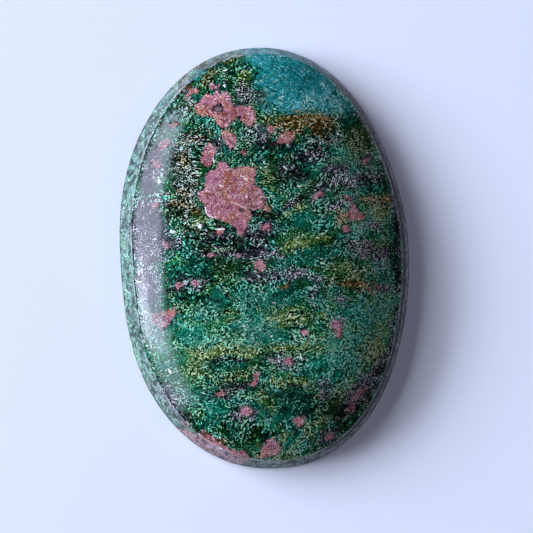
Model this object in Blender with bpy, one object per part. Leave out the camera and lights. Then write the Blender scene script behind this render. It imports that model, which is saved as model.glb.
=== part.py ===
"""An oval cabochon of ruby in fuchsite: one hand-cut stone with a flat back, a leaning wall and a low polished dome.

Run it with blender --background --python part.py, or from Blender's text editor.
Units are metres. The flat back lies on z = 0 with the oval's centre at the origin, +Y runs along the stone
and +Z points out of the dome.
"""

import math

import bmesh
import bpy
from mathutils import Vector

# The stone's size over everything
LENGTH = 0.0450
WIDTH = 0.0311
THICKNESS = 0.0064

# The oval is a little fuller than an ellipse, which is what an exponent just above 2 gives
OVAL_EXPONENT = 2.12

# What hand cutting leaves in the outline: waves a full turn holds, their height as a share of the radius, their phase
OUTLINE_WAVES = (
    (3, 0.0042, math.radians(-36)),
    (5, 0.0065, math.radians(38)),
)

# The back's edge is broken by a small bevel, so that it doesn't chip in a setting
BACK_BEVEL = 0.00035

# The wall leans in from the widest line up to the shoulder, where the dome begins
SHOULDER_HEIGHT = 0.0024
WALL_LEAN = 0.00090
SHOULDER_SOFTENING = 0.00022

# The dome was ground a little off the middle of the base
DOME_SHIFT = Vector((0.00014, 0.00009))

# Higher is a flatter crown with more of its fall near the shoulder
CROWN_FULLNESS = 3.6

SEGMENTS = 112
WALL_RINGS = 2
SHOULDER_RINGS = 3
DOME_RINGS = 15
# Above 1 draws the dome's rings together near the shoulder, where it curves most
RING_SPACING = 1.35

SMOOTH_BELOW = math.radians(30)

# The rock's mean colour under its polish
STONE_COLOUR = (0.045, 0.110, 0.080, 1.0)
POLISH_ROUGHNESS = 0.18


def oval_radius(angle, half_width, half_length):
    """Distance from the middle to the outline, in one direction seen from above."""
    across = abs(math.cos(angle) / half_width) ** OVAL_EXPONENT
    along = abs(math.sin(angle) / half_length) ** OVAL_EXPONENT
    waves = sum(height * math.cos(count * angle - phase) for count, height, phase in OUTLINE_WAVES)
    return (across + along) ** (-1 / OVAL_EXPONENT) * (1 + waves)


def oval_point(angle, half_width, half_length):
    """A point of the outline, seen from above."""
    radius = oval_radius(angle, half_width, half_length)
    return Vector((radius * math.cos(angle), radius * math.sin(angle)))


def outline_box(half_width, half_length):
    """Middle and half size of the box round the outline, which the waves move and stretch a little."""
    points = [oval_point(math.tau * k / SEGMENTS, half_width, half_length) for k in range(SEGMENTS)]
    low = Vector((min(p.x for p in points), min(p.y for p in points)))
    high = Vector((max(p.x for p in points), max(p.y for p in points)))
    return (low + high) / 2, (high - low) / 2


def wall_section(share):
    """Inset and height on the leaning wall, from the widest line at 0 to the shoulder at 1."""
    return share * WALL_LEAN, BACK_BEVEL + share * (SHOULDER_HEIGHT - BACK_BEVEL)


def dome_section(share):
    """Inset and height on the dome, from the shoulder at 0 to the crown at 1."""
    half_width = WIDTH / 2 - WALL_LEAN
    rise = 1 - (1 - share) ** CROWN_FULLNESS
    return WALL_LEAN + share * half_width, SHOULDER_HEIGHT + rise * (THICKNESS - SHOULDER_HEIGHT)


def shoulder_sections():
    """The soft turn from the wall into the dome, as a bend drawn between a point on each."""
    wall_length = math.hypot(*wall_section(1)) - math.hypot(*wall_section(0))
    start = Vector(wall_section(1 - SHOULDER_SOFTENING / wall_length))
    corner = Vector(wall_section(1))
    end = Vector(dome_section(SHOULDER_SOFTENING / (WIDTH / 2 - WALL_LEAN)))
    for k in range(SHOULDER_RINGS + 1):
        t = k / SHOULDER_RINGS
        yield tuple(start * (1 - t) ** 2 + corner * 2 * t * (1 - t) + end * t ** 2)


def sections():
    """Inset and height of every ring, from the rim of the flat back up to the last ring round the crown."""
    yield BACK_BEVEL, 0.0
    shoulder = list(shoulder_sections())
    last_wall = shoulder[0][0] / WALL_LEAN
    for k in range(WALL_RINGS):
        yield wall_section(last_wall * k / WALL_RINGS)
    yield from shoulder
    first_dome = (shoulder[-1][0] - WALL_LEAN) / (WIDTH / 2 - WALL_LEAN)
    for k in range(1, DOME_RINGS):
        yield dome_section(first_dome + (1 - first_dome) * (k / DOME_RINGS) ** RING_SPACING)


def half_sizes(inset):
    """Half width and half length of the ring at an inset.

    Near the edge every ring keeps its distance to the outline. Towards the crown the long side shrinks faster,
    so that the rings close on one point and no ridge is left along the middle.
    """
    closing = max(0.0, (inset - WALL_LEAN) / (WIDTH / 2 - WALL_LEAN))
    return WIDTH / 2 - inset, (LENGTH / 2 - inset) * (1 - closing ** 2)


def ring(mesh, inset, height, centre, stretch):
    """Adds one closed section of the stone and gives its edges."""
    circle = bmesh.ops.create_circle(mesh, cap_ends=False, segments=SEGMENTS, radius=1.0)
    drift = DOME_SHIFT * min(1.0, inset / WALL_LEAN) if height > BACK_BEVEL else Vector((0, 0))
    for vertex in circle["verts"]:
        angle = math.atan2(vertex.co.y, vertex.co.x)
        flat = oval_point(angle, *half_sizes(inset)) - centre + drift
        vertex.co = Vector((flat.x * stretch.x, flat.y * stretch.y, height))
    return list({edge for vertex in circle["verts"] for edge in vertex.link_edges})


def build_cabochon():
    """The whole stone, as a loft through its sections with a flat back and a closed crown."""
    mesh = bmesh.new()
    centre, half = outline_box(WIDTH / 2, LENGTH / 2)
    stretch = Vector((WIDTH / 2 / half.x, LENGTH / 2 / half.y))
    rings = [ring(mesh, inset, height, centre, stretch) for inset, height in sections()]
    for lower, upper in zip(rings, rings[1:]):
        bmesh.ops.bridge_loops(mesh, edges=lower + upper)
    bmesh.ops.contextual_create(mesh, geom=rings[0])
    crown_cap = bmesh.ops.contextual_create(mesh, geom=rings[-1])["faces"]
    crown = bmesh.ops.poke(mesh, faces=crown_cap)["verts"][0]
    crown.co.z = THICKNESS
    bmesh.ops.recalc_face_normals(mesh, faces=mesh.faces)

    data = bpy.data.meshes.new("cabochon")
    mesh.to_mesh(data)
    mesh.free()
    data.shade_smooth()
    data.set_sharp_from_angle(angle=SMOOTH_BELOW)
    return bpy.data.objects.new("cabochon", data)


def polished_stone():
    """The stone's mean colour: dark green mica rock, polished."""
    material = bpy.data.materials.new("ruby_in_fuchsite")
    material.use_nodes = True
    shader = material.node_tree.nodes["Principled BSDF"]
    shader.inputs["Base Color"].default_value = STONE_COLOUR
    shader.inputs["Roughness"].default_value = POLISH_ROUGHNESS
    shader.inputs["Metallic"].default_value = 0.0
    return material


for old in list(bpy.data.objects):
    bpy.data.objects.remove(old, do_unlink=True)

parts = bpy.data.collections.new("ruby in fuchsite cabochon")
bpy.context.scene.collection.children.link(parts)

cabochon = build_cabochon()
cabochon.data.materials.append(polished_stone())
parts.objects.link(cabochon)
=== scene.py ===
"""The polished ruby in fuchsite cabochon, dressed for a studio view: its surface, its grain and its light."""

import math

import bpy
import numpy as np
from mathutils import Matrix, Vector


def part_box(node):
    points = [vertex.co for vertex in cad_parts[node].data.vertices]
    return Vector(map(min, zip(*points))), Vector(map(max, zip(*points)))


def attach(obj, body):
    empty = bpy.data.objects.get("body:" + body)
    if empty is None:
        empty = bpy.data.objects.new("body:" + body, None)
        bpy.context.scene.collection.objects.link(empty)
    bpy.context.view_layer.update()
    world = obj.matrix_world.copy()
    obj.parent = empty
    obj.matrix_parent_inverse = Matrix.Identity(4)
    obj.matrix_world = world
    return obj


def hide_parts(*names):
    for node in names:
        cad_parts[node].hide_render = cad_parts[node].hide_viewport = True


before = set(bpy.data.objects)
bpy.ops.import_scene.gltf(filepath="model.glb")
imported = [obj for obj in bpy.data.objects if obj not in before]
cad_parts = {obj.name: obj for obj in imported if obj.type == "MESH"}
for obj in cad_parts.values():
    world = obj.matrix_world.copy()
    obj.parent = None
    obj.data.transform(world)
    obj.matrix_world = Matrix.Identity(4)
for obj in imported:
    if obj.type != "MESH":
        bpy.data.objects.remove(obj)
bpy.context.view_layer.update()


# The viewpoint
# A camera over the table looks down from just left of overhead, turned a little, so that the stone leans
# left. The rock's pattern is drawn as it looks from here, so the camera stands before the stone is made.

CAMERA_DISTANCE = 0.28
CAMERA_LEAN_LEFT = math.radians(8)
CAMERA_LEAN_DOWN = math.radians(3.5)
CAMERA_ROLL = math.radians(2.96)
FRAME_WIDTH = 0.05688
AIM = Vector((0.00003, -0.00102, 0.00035))

camera_data = bpy.data.cameras.new("camera")
camera = bpy.data.objects.new("camera", camera_data)
camera_data.lens = camera_data.sensor_width * CAMERA_DISTANCE / FRAME_WIDTH
camera_data.clip_start = 0.01
back = Vector((-math.tan(CAMERA_LEAN_LEFT), -math.tan(CAMERA_LEAN_DOWN), 1)).normalized()
right = Vector((math.sin(CAMERA_ROLL), math.cos(CAMERA_ROLL), 0)).cross(back).normalized()
camera_axes = Matrix((right, back.cross(right), back)).transposed()
camera.matrix_world = Matrix.Translation(AIM + back * CAMERA_DISTANCE) @ camera_axes.to_4x4()
bpy.context.scene.collection.objects.link(camera)
bpy.context.scene.camera = camera


# The stone's form
# One piece of ruby in fuchsite rock, sawn to an oval slab, ground on a wheel to a leaning wall and a low
# dome, then polished. The form is worked out by rule from a cube of many faces blown up to a ball, so that
# the surface is one closed skin with no pole and no seam.

WALL_LEAN = 0.00105
END_LEAN_SHARE = 0.8
SHOULDER_HEIGHT = 0.0024
SHOULDER_SOFTENING = 0.00022
BACK_BEVEL = 0.00035
CROWN_FULLNESS = 3.1
OVAL_EXPONENT = 2.12
DOME_SHIFT = Vector((0, -0.00004, 0))
# How many waves a full turn of the outline holds, their height as a share of the radius, and their phase
OUTLINE_WAVES = (
    (3, 0.0042, math.radians(-36)),
    (5, 0.0065, math.radians(38)),
)
# Of the way from the middle of the back to the crown: where the back ends, how much more the bevel takes,
# and where the wall ends
BACK_SHARE = 0.22
BEVEL_SHARE = 0.012
WALL_SHARE = 0.34
SKIN_DIVISIONS = 128
# The polishing pad leaves the dome faintly wavy, with a finer orange peel over the soft mica
LAP_WAVE_HEIGHT = 0.000014
LAP_WAVE_LENGTH = 0.0042
PEEL_HEIGHT = 0.0000050
PEEL_LENGTH = 0.00060


class Wire:
    """The output of one node, on which Python's operators stand for Math nodes."""

    def __init__(self, tree, socket):
        self.tree = tree
        self.socket = socket

    def node(self, kind, settings, values, output=0):
        """Adds a node: its settings first, then its sockets, filled with numbers or linked to wires."""
        made = self.tree.nodes.new(kind)
        for name, setting in settings.items():
            setattr(made, name, setting)
        for name, value in values.items():
            if isinstance(name, int):
                socket = made.inputs[name]
            else:
                socket = next(s for s in made.inputs if s.name == name and s.enabled)
            if isinstance(value, Wire):
                self.tree.links.new(value.socket, socket)
            else:
                socket.default_value = value
        return Wire(self.tree, made.outputs[output])

    def beside(self, output):
        """Another output of the same node."""
        return Wire(self.tree, self.socket.node.outputs[output])

    def maths(self, operation, *values):
        return self.node("ShaderNodeMath", {"operation": operation}, dict(enumerate(values)))

    def __add__(self, other):
        return self.maths("ADD", self, other)

    def __radd__(self, other):
        return self.maths("ADD", other, self)

    def __sub__(self, other):
        return self.maths("SUBTRACT", self, other)

    def __rsub__(self, other):
        return self.maths("SUBTRACT", other, self)

    def __mul__(self, other):
        return self.maths("MULTIPLY", self, other)

    def __rmul__(self, other):
        return self.maths("MULTIPLY", other, self)

    def __truediv__(self, other):
        return self.maths("DIVIDE", self, other)

    def __rtruediv__(self, other):
        return self.maths("DIVIDE", other, self)

    def __pow__(self, other):
        return self.maths("POWER", self, other)

    def __gt__(self, other):
        return self.maths("GREATER_THAN", self, other)

    def __abs__(self):
        return self.maths("ABSOLUTE", self)

    def ramp(self, low, high):
        """0 up to the low value, 1 from the high one on, and a smooth rise between them."""
        settings = {"interpolation_type": "SMOOTHSTEP"}
        return self.node("ShaderNodeMapRange", settings, {0: self, 1: low, 2: high})

    def vectors(self, operation, *values):
        return self.node("ShaderNodeVectorMath", {"operation": operation}, dict(enumerate(values)))

    def scaled(self, share):
        return self.node("ShaderNodeVectorMath", {"operation": "SCALE"}, {0: self, "Scale": share})

    def parts(self, kind="ShaderNodeSeparateXYZ"):
        """The first of a vector's or a colour's three numbers, with the others beside it."""
        return self.node(kind, {}, {0: self})

    def span(self, low, high, to_low=0.0, to_high=1.0):
        """A straight change from one range to another, held at its ends."""
        return self.node("ShaderNodeMapRange", {}, {0: self, 1: low, 2: high, 3: to_low, 4: to_high})


def cabochon_tree(sizes):
    """The rule that lays a ball's points on the stone, round the oval and up its profile."""
    tree = bpy.data.node_groups.new("cabochon form", "GeometryNodeTree")
    tree.interface.new_socket("Geometry", in_out="OUTPUT", socket_type="NodeSocketGeometry")
    kinds = {float: "Float", int: "Int", Vector: "Vector", bpy.types.Material: "Material"}
    for name, size in sizes.items():
        tree.interface.new_socket(name, in_out="INPUT", socket_type="NodeSocket" + kinds[type(size)])
    given = tree.nodes.new("NodeGroupInput")
    wires = [Wire(tree, socket) for socket in given.outputs[:len(sizes)]]
    lean, end_lean, shoulder, softening, bevel, fullness, exponent = wires[:7]
    wave, wave_length, peel, peel_length, low, high, shift, divisions, polish = wires[7:]

    size = high.vectors("SUBTRACT", high, low).parts()
    half_width, half_length, thickness = size * 0.5, size.beside(1) * 0.5, size.beside(2)

    grid = {"Vertices X": divisions, "Vertices Y": divisions, "Vertices Z": divisions}
    ball = divisions.node("GeometryNodeMeshCube", {}, grid)
    place = ball.node("GeometryNodeInputPosition", {}, {})
    outward = place.vectors("NORMALIZE", place).parts()
    travel = 1 - outward.beside(2).maths("ARCCOSINE", outward.beside(2)) / math.pi

    # Along the profile, from the middle of the back out to its edge, up the wall and in over the dome
    back = travel.span(0, BACK_SHARE)
    wall_length = ((shoulder - bevel) ** 2 + lean ** 2) ** 0.5
    dome_length = half_width - lean
    wall_start = BACK_SHARE + BEVEL_SHARE
    bevel_rise = travel.span(BACK_SHARE, wall_start)
    climb = travel.span(wall_start, WALL_SHARE) * wall_length + travel.span(WALL_SHARE, 1) * dome_length
    on_wall = climb.maths("SMOOTH_MIN", climb, wall_length, softening) / wall_length
    on_dome = climb.maths("SMOOTH_MAX", climb - wall_length, 0, softening) / dome_length
    inset = bevel * (1 - bevel_rise) + lean * on_wall + dome_length * on_dome
    crown = (1 - (1 - on_dome).maths("MAXIMUM", 1 - on_dome, 0) ** fullness) * (thickness - shoulder)
    height = bevel * bevel_rise + (shoulder - bevel) * on_wall + crown
    across = (half_width - inset) * back
    along = (half_length - inset + lean * (1 - end_lean) * on_wall) * (1 - on_dome * on_dome) * back

    # Round the oval, which is a little fuller than an ellipse and wavy from hand cutting
    angle = outward.maths("ARCTAN2", outward.beside(1) * (half_length / half_width), outward)
    cosine, sine = angle.maths("COSINE", angle), angle.maths("SINE", angle)
    long_part = abs(along * cosine) ** exponent
    wide_part = abs(across * sine) ** exponent
    radius = across * along / (long_part + wide_part) ** (1 / exponent)
    waves = (share * angle.maths("COSINE", angle * count - phase) for count, share, phase in OUTLINE_WAVES)
    radius = radius * (1 + sum(waves))
    spot = radius.node("ShaderNodeCombineXYZ", {}, {0: radius * cosine, 1: radius * sine, 2: height})
    spot = spot.vectors("ADD", spot, shift.scaled(on_wall))
    formed = spot.node("GeometryNodeSetPosition", {}, {"Geometry": ball, "Position": spot})

    # The waves stretch the outline a little, so the whole is fitted to the corners again
    box = formed.node("GeometryNodeBoundBox", {}, {0: formed}, "Min")
    place = formed.node("GeometryNodeInputPosition", {}, {})
    settings = {"data_type": "FLOAT_VECTOR", "clamp": False}
    values = {"Vector": place, "From Min": box, "From Max": box.beside("Max"), "To Min": low, "To Max": high}
    fitted = place.node("ShaderNodeMapRange", settings, values, "Vector")
    formed = formed.node("GeometryNodeSetPosition", {}, {"Geometry": formed, "Position": fitted})

    # What polishing leaves: long waves from the pad and a fine orange peel, neither on the flat back
    place = formed.node("GeometryNodeInputPosition", {}, {})
    normal = formed.node("GeometryNodeInputNormal", {}, {})
    long_waves, fine_peel = (
        place.node("ShaderNodeTexNoise", {}, {"Vector": place, "Scale": 1 / length, "Detail": 1.0})
        for length in (wave_length, peel_length))
    relief = ((long_waves - 0.5) * wave + (fine_peel - 0.5) * peel) * 2 * bevel_rise
    formed = formed.node("GeometryNodeSetPosition", {}, {"Geometry": formed, "Offset": normal.scaled(relief)})
    formed = formed.node("GeometryNodeSetShadeSmooth", {}, {"Geometry": formed})
    formed = formed.node("GeometryNodeRealizeInstances", {}, {"Geometry": formed})
    formed = formed.node("GeometryNodeSetMaterial", {}, {"Geometry": formed, "Material": polish})
    result = tree.nodes.new("NodeGroupOutput")
    tree.links.new(formed.socket, result.inputs[0])
    return tree


stone_finish = bpy.data.materials.new("polished ruby in fuchsite")
low_corner, high_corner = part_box("cabochon")
form_sizes = {
    "Wall lean": WALL_LEAN, "End lean share": END_LEAN_SHARE, "Shoulder height": SHOULDER_HEIGHT,
    "Shoulder softening": SHOULDER_SOFTENING, "Back bevel": BACK_BEVEL, "Crown fullness": CROWN_FULLNESS,
    "Oval exponent": OVAL_EXPONENT,
    "Lap wave height": LAP_WAVE_HEIGHT, "Lap wave length": LAP_WAVE_LENGTH,
    "Peel height": PEEL_HEIGHT, "Peel length": PEEL_LENGTH,
    "Low corner": low_corner, "High corner": high_corner, "Dome shift": DOME_SHIFT,
    "Divisions": SKIN_DIVISIONS, "Polish": stone_finish,
}
form = cabochon_tree(form_sizes)
blank = bpy.data.objects.new("blank", bpy.data.meshes.new("blank"))
bpy.context.scene.collection.objects.link(blank)
shaper = blank.modifiers.new("form", "NODES")
shaper.node_group = form
for socket in form.interface.items_tree:
    if socket.in_out == "INPUT":
        shaper[socket.identifier] = form_sizes[socket.name]
bpy.context.view_layer.update()
skin = bpy.data.meshes.new_from_object(blank.evaluated_get(bpy.context.evaluated_depsgraph_get()))
stone = bpy.data.objects.new("stone", skin)
bpy.context.scene.collection.objects.link(stone)
bpy.data.objects.remove(blank)


# The ruby crystals and the rock's bands
# Pink ruby grew in the green mica as blocky crystals up to 7 mm across, cut through by saw and wheel. Their
# outlines, and where the mica turns teal, olive, mauve, dark or rusty, are drawn as seen from above, in
# millimetres from the middle of the stone: outlines corner by corner, small patches as ovals. Some dark,
# pale, bright, even and mauve patches also hold painted shade, light and glare.

RUBY_OUTLINES = (
    ((-6.6, 16.4), (-6.4, 17.0), (-5.9, 17.2), (-5.5, 17.9), (-5.0, 17.9), (-4.6, 17.8), (-4.3, 18.1),
     (-3.9, 18.2), (-3.5, 17.9), (-3.0, 17.9), (-2.7, 17.6), (-2.7, 16.9), (-2.3, 16.6), (-1.2, 16.4),
     (-0.6, 16.4), (-0.3, 15.9), (0.0, 15.0), (-0.4, 14.5), (-0.7, 14.2), (-1.1, 14.4), (-1.5, 14.8),
     (-1.9, 15.3), (-2.1, 15.1), (-2.6, 14.9), (-2.9, 14.6), (-3.2, 14.3), (-3.6, 14.1), (-4.0, 14.4),
     (-4.3, 14.8), (-4.5, 15.3), (-5.0, 15.5), (-5.6, 15.6), (-6.1, 15.9)),
    ((-3.7, 13.9), (-3.3, 14.0), (-3.0, 13.6), (-2.6, 13.7), (-2.3, 13.2), (-2.3, 12.7), (-2.6, 12.2),
     (-3.0, 12.0), (-3.3, 12.3), (-3.5, 12.7), (-3.8, 13.0)),
    ((-5.7, 12.3), (-5.3, 12.6), (-5.0, 12.7), (-4.6, 12.3), (-4.5, 11.8), (-4.8, 11.3), (-4.9, 10.8),
     (-5.2, 10.5), (-5.3, 10.2), (-5.9, 10.2), (-6.1, 10.6), (-6.2, 11.3), (-6.0, 11.9)),
    ((2.0, 12.7), (2.5, 13.2), (3.1, 13.5), (3.6, 13.6), (4.1, 13.35), (3.9, 13.0), (3.7, 12.6),
     (3.4, 12.2), (2.9, 12.25), (2.4, 12.15), (2.0, 12.3)),
    ((-4.3, 10.8), (-3.6, 10.5), (-3.0, 9.8), (-1.8, 10.1), (-0.8, 9.9), (-0.4, 9.4), (-0.7, 8.1), (0.0, 7.6),
     (0.55, 6.4), (0.0, 5.3), (-1.3, 5.4), (-1.0, 4.8), (-1.6, 3.8), (-1.9, 3.0), (-2.4, 2.6), (-2.8, 3.2),
     (-3.2, 3.8), (-4.0, 4.3), (-5.7, 4.9), (-6.1, 5.5), (-6.1, 6.2), (-6.6, 6.8), (-6.8, 7.6), (-6.0, 7.9),
     (-5.8, 9.3), (-5.2, 9.9), (-4.6, 9.8)),
    ((9.85, 5.7), (10.1, 5.1), (10.4, 4.6), (10.8, 4.2), (11.0, 3.8), (10.6, 3.6), (10.1, 3.7), (9.5, 3.6),
     (9.2, 3.3), (9.3, 3.9), (9.0, 4.5), (9.4, 5.0)),
    ((-1.0, -0.1), (-0.5, 0.0), (-0.1, -0.2), (0.2, -0.7), (-0.1, -1.1), (-0.2, -1.5), (-0.6, -1.4),
     (-0.7, -1.0), (-1.1, -0.8)),
    ((-11.9, -5.6), (-11.2, -5.2), (-10.6, -4.9), (-10.1, -4.8), (-9.6, -5.2), (-10.1, -5.7), (-10.4, -6.2),
     (-10.9, -6.6), (-11.3, -6.9), (-11.7, -6.6), (-12.0, -6.2)),
    ((7.0, -6.9), (7.5, -6.8), (7.8, -7.3), (7.75, -7.8), (7.9, -8.3), (7.6, -8.8), (7.2, -8.6), (7.2, -8.0),
     (6.7, -7.7), (6.75, -7.2)),
    ((-1.3, -11.9), (-1.1, -12.2), (-1.4, -12.9), (-1.6, -13.5), (-2.1, -13.6), (-2.3, -13.2), (-1.9, -12.9),
     (-1.8, -12.2)),
    ((-1.3, -19.8), (-0.7, -19.4), (0.0, -19.3), (0.5, -19.6), (0.75, -20.1), (0.6, -20.6), (0.1, -20.9),
     (-0.6, -21.0), (-1.2, -21.2), (-1.9, -21.2), (-1.5, -20.8), (-1.4, -20.3)),
    ((-9.2, -18.4), (-8.6, -18.5), (-8.0, -18.4), (-7.5, -18.0), (-7.1, -18.1), (-6.7, -18.4), (-6.3, -18.7),
     (-5.5, -19.2), (-5.2, -19.6), (-4.9, -20.0), (-4.4, -20.2), (-3.8, -20.3), (-3.4, -20.2), (-2.9, -20.6),
     (-2.7, -21.0), (-2.9, -22.4), (-3.9, -23.6), (-5.2, -23.4), (-6.8, -22.8), (-8.2, -21.9), (-9.6, -20.4),
     (-10.2, -19.2)),
)
# Middle across and along, half width, half length, and the turn in degrees where there is one
RUBY_OVALS = (
    (-10.4, 2.1, 0.26, 0.44, 20), (-11.9, -5.7, 0.5, 0.6), (-4.5, 18.7, 0.42, 0.3),
    (-6.6, 18.3, 0.6, 0.26), (-7.3, 17.9, 0.3, 0.2, 20), (-1.6, 11.6, 0.28, 0.24),
    (1.4, 13.85, 0.46, 0.4, -15), (-4.5, 3.2, 0.38, 0.36), (0.4, 3.5, 0.7, 0.3, 12),
    (0.5, 5.4, 0.36, 0.26), (8.9, 2.8, 0.36, 0.42), (9.3, 6.1, 0.4, 0.24, -30),
    (11.3, 9.9, 0.46, 0.34, 20), (6.1, 6.6, 0.7, 0.3, 22), (14.7, 5.9, 0.22, 0.6, 18),
    (-9.0, 14.8, 0.6, 0.32, 15), (-10.2, 12.7, 0.95, 0.42, 42), (-11.0, 10.7, 0.55, 0.55),
    (-11.3, 6.4, 0.4, 0.32), (3.85, -8.0, 0.42, 0.4), (2.8, -17.4, 0.62, 0.6), (-9.3, -17.3, 0.42, 0.36),
    (-2.8, -16.1, 0.62, 0.52), (-5.4, -14.05, 0.52, 0.24, 5), (2.0, -11.0, 0.5, 0.4, -20),
    (-9.2, -2.25, 0.4, 0.28), (-7.6, -2.15, 0.42, 0.26), (-5.6, 0.75, 0.34, 0.16, -10),
    (-2.7, 0.5, 0.22, 0.24), (9.3, -14.9, 1.0, 0.42, 42), (8.4, -16.3, 0.55, 0.4, 60),
    (5.9, -19.3, 0.6, 0.3, 10),
)
PIT_OVALS = ((-4.1, 16.3, 0.52, 0.34), (-2.1, 5.35, 0.22, 0.14), (-7.65, 18.35, 0.14, 0.26))
# Iron has stained cracks in the ruby orange and whole bands of the mica brown and gold
RUST_OVALS = (
    (4.8, 14.4, 3.4, 0.6, 2), (3.4, 13.5, 1.6, 0.36, 4), (6.8, 13.9, 1.5, 0.7), (5.2, 14.9, 1.6, 0.4),
    (-7.6, 18.6, 1.1, 0.28, 22), (-5.0, 20.0, 1.3, 0.24, 44), (-3.6, 21.0, 0.6, 0.2, 20),
    (-8.9, 6.5, 0.8, 0.3, -10), (-7.6, 5.9, 0.7, 0.25, -20), (-8.2, 11.0, 0.4, 0.7),
    (-6.6, 13.4, 1.3, 0.3), (-8.2, 7.4, 0.4, 0.3), (8.4, -3.0, 1.6, 0.3, -4), (13.4, 5.7, 1.0, 0.5),
    (12.6, 5.7, 1.9, 0.45), (10.2, -3.3, 1.4, 0.6, -8), (8.5, 4.1, 0.6, 0.6), (2.2, -2.9, 0.3, 0.2),
    (-1.3, 9.6, 0.8, 0.34, -5), (-3.4, 9.3, 0.55, 0.16, -25), (-4.2, 8.0, 0.22, 0.42, 10),
    (-1.7, 7.6, 0.18, 0.34, -12), (-3.5, 7.4, 0.45, 0.2), (-1.2, 14.9, 0.36, 0.34),
    (-3.2, 13.6, 0.45, 0.3), (-6.3, 16.3, 0.42, 0.26, -10), (-3.9, 14.75, 0.2, 0.28),
    (3.1, 13.2, 0.9, 0.24, 16), (10.6, 3.8, 0.45, 0.2), (-10.4, -5.0, 0.7, 0.22, 15),
    (-5.5, -19.3, 0.55, 0.26, -40), (-8.8, -18.7, 0.5, 0.2, -30), (-1.3, -20.8, 0.5, 0.3, 20),
    (-4.5, 3.4, 0.4, 0.3), (0.5, 5.3, 0.5, 0.6),
)
# Where black mica and white quartz lie mixed like pepper and salt
PEPPER_OVALS = (
    (-8.2, 9.6, 1.7, 3.4, 8), (-8.6, 6.0, 1.8, 1.5), (-6.6, 13.0, 1.7, 0.7), (-7.4, 3.6, 1.6, 0.8, -30),
    (-7.4, 17.0, 0.7, 0.8), (0.4, 17.4, 0.9, 0.6), (-0.4, 13.4, 1.0, 0.5), (2.6, 8.6, 1.0, 0.9, -50),
    (7.4, 12.4, 1.8, 0.6), (3.8, 6.2, 1.4, 0.5, 30), (10.0, 0.8, 1.4, 0.8), (-4.6, 1.6, 2.0, 0.5),
)
# Where the mica is so fine that it looks even and waxy, and along the left shoulder where painted glare from
# the window's reflection fades the rock and its rubies
EVEN_AND_GLARE_FADE_OVALS = (
    (-12.2, 3.2, 2.0, 4.4, 2), (-12.2, -3.6, 1.9, 4.0, 2), (-11.6, -9.2, 2.1, 4.0, 14),
    (-9.6, -14.0, 1.6, 2.6, 34), (-11.4, 9.6, 1.7, 4.0, -14), (-9.4, 14.6, 1.3, 2.6, -34),
    (-6.2, -4.6, 1.6, 0.9), (-0.6, -4.2, 2.2, 0.9), (-1.6, -7.6, 2.6, 0.9), (2.6, -14.6, 1.6, 0.8),
    (-7.6, -8.4, 1.4, 0.6), (4.4, 6.6, 0.8, 0.5),
)
# Where the ruby turns magenta, and the mica round it mauve and grey; along the left shoulder the mauve is
# partly a painted tint of the window's reflection
PLUM_OVALS = (
    (5.9, 10.9, 1.4, 0.7, -8), (8.0, 9.2, 1.2, 0.7), (7.0, 7.6, 2.2, 0.5, 28), (11.2, 8.1, 2.6, 0.6, 10),
    (11.3, 9.9, 0.6, 0.5), (0.4, 3.5, 0.9, 0.5, 10), (-2.3, 3.0, 0.6, 0.5), (2.9, 12.3, 1.0, 0.22),
    (-4.4, 2.6, 1.6, 0.7, -6), (-0.9, 2.6, 1.9, 0.8, 8), (-2.0, 0.8, 3.6, 0.65, -4),
    (-6.0, 1.1, 1.2, 0.3, -8), (-10.1, 2.2, 1.3, 0.75), (-8.0, -2.2, 2.0, 0.62, 2),
    (0.6, -1.8, 2.8, 0.45, 2), (3.4, -1.7, 1.2, 0.6), (5.4, -2.3, 0.8, 0.35, -20), (5.3, -3.7, 0.5, 0.5),
    (8.1, -4.5, 0.5, 0.35), (1.1, -10.9, 1.4, 0.5, -14), (-4.2, -13.7, 2.0, 0.5, 14),
    (-3.2, -16.3, 1.2, 0.8, 15), (5.7, -14.4, 0.7, 0.9), (9.6, -14.6, 2.9, 1.1, 50),
    (6.0, -19.2, 1.2, 0.7, 15), (-1.4, 17.7, 0.9, 0.8), (-4.3, 12.4, 0.5, 0.9), (0.3, 13.2, 1.0, 1.1, -20),
    (-10.8, -14.6, 0.9, 1.9, 35), (-9.3, -16.9, 0.6, 0.7), (-2.9, 12.1, 0.5, 0.3), (5.6, 10.8, 1.6, 0.7),
    (12.0, -3.7, 1.2, 0.4), (11.0, 0.4, 1.0, 1.0), (7.5, -7.4, 0.6, 0.8), (-3.9, 10.5, 0.5, 0.3),
    (0.2, -20.1, 0.5, 0.6), (-3.9, -21.2, 1.2, 0.3, -10), (12.2, -0.2, 1.0, 0.9),
    (12.8, 12.8, 0.4, 1.2, 30), (-12.2, 3.4, 2.0, 3.8), (-12.6, -2.0, 1.3, 2.0),
    (-3.9, 16.6, 1.9, 0.8, -12), (-11.3, 10.6, 1.0, 2.6, -18), (8.6, 5.6, 1.6, 0.4, 16),
    (3.4, 9.4, 1.6, 0.6, -20), (11.8, 3.0, 1.0, 0.5),
)
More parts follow.
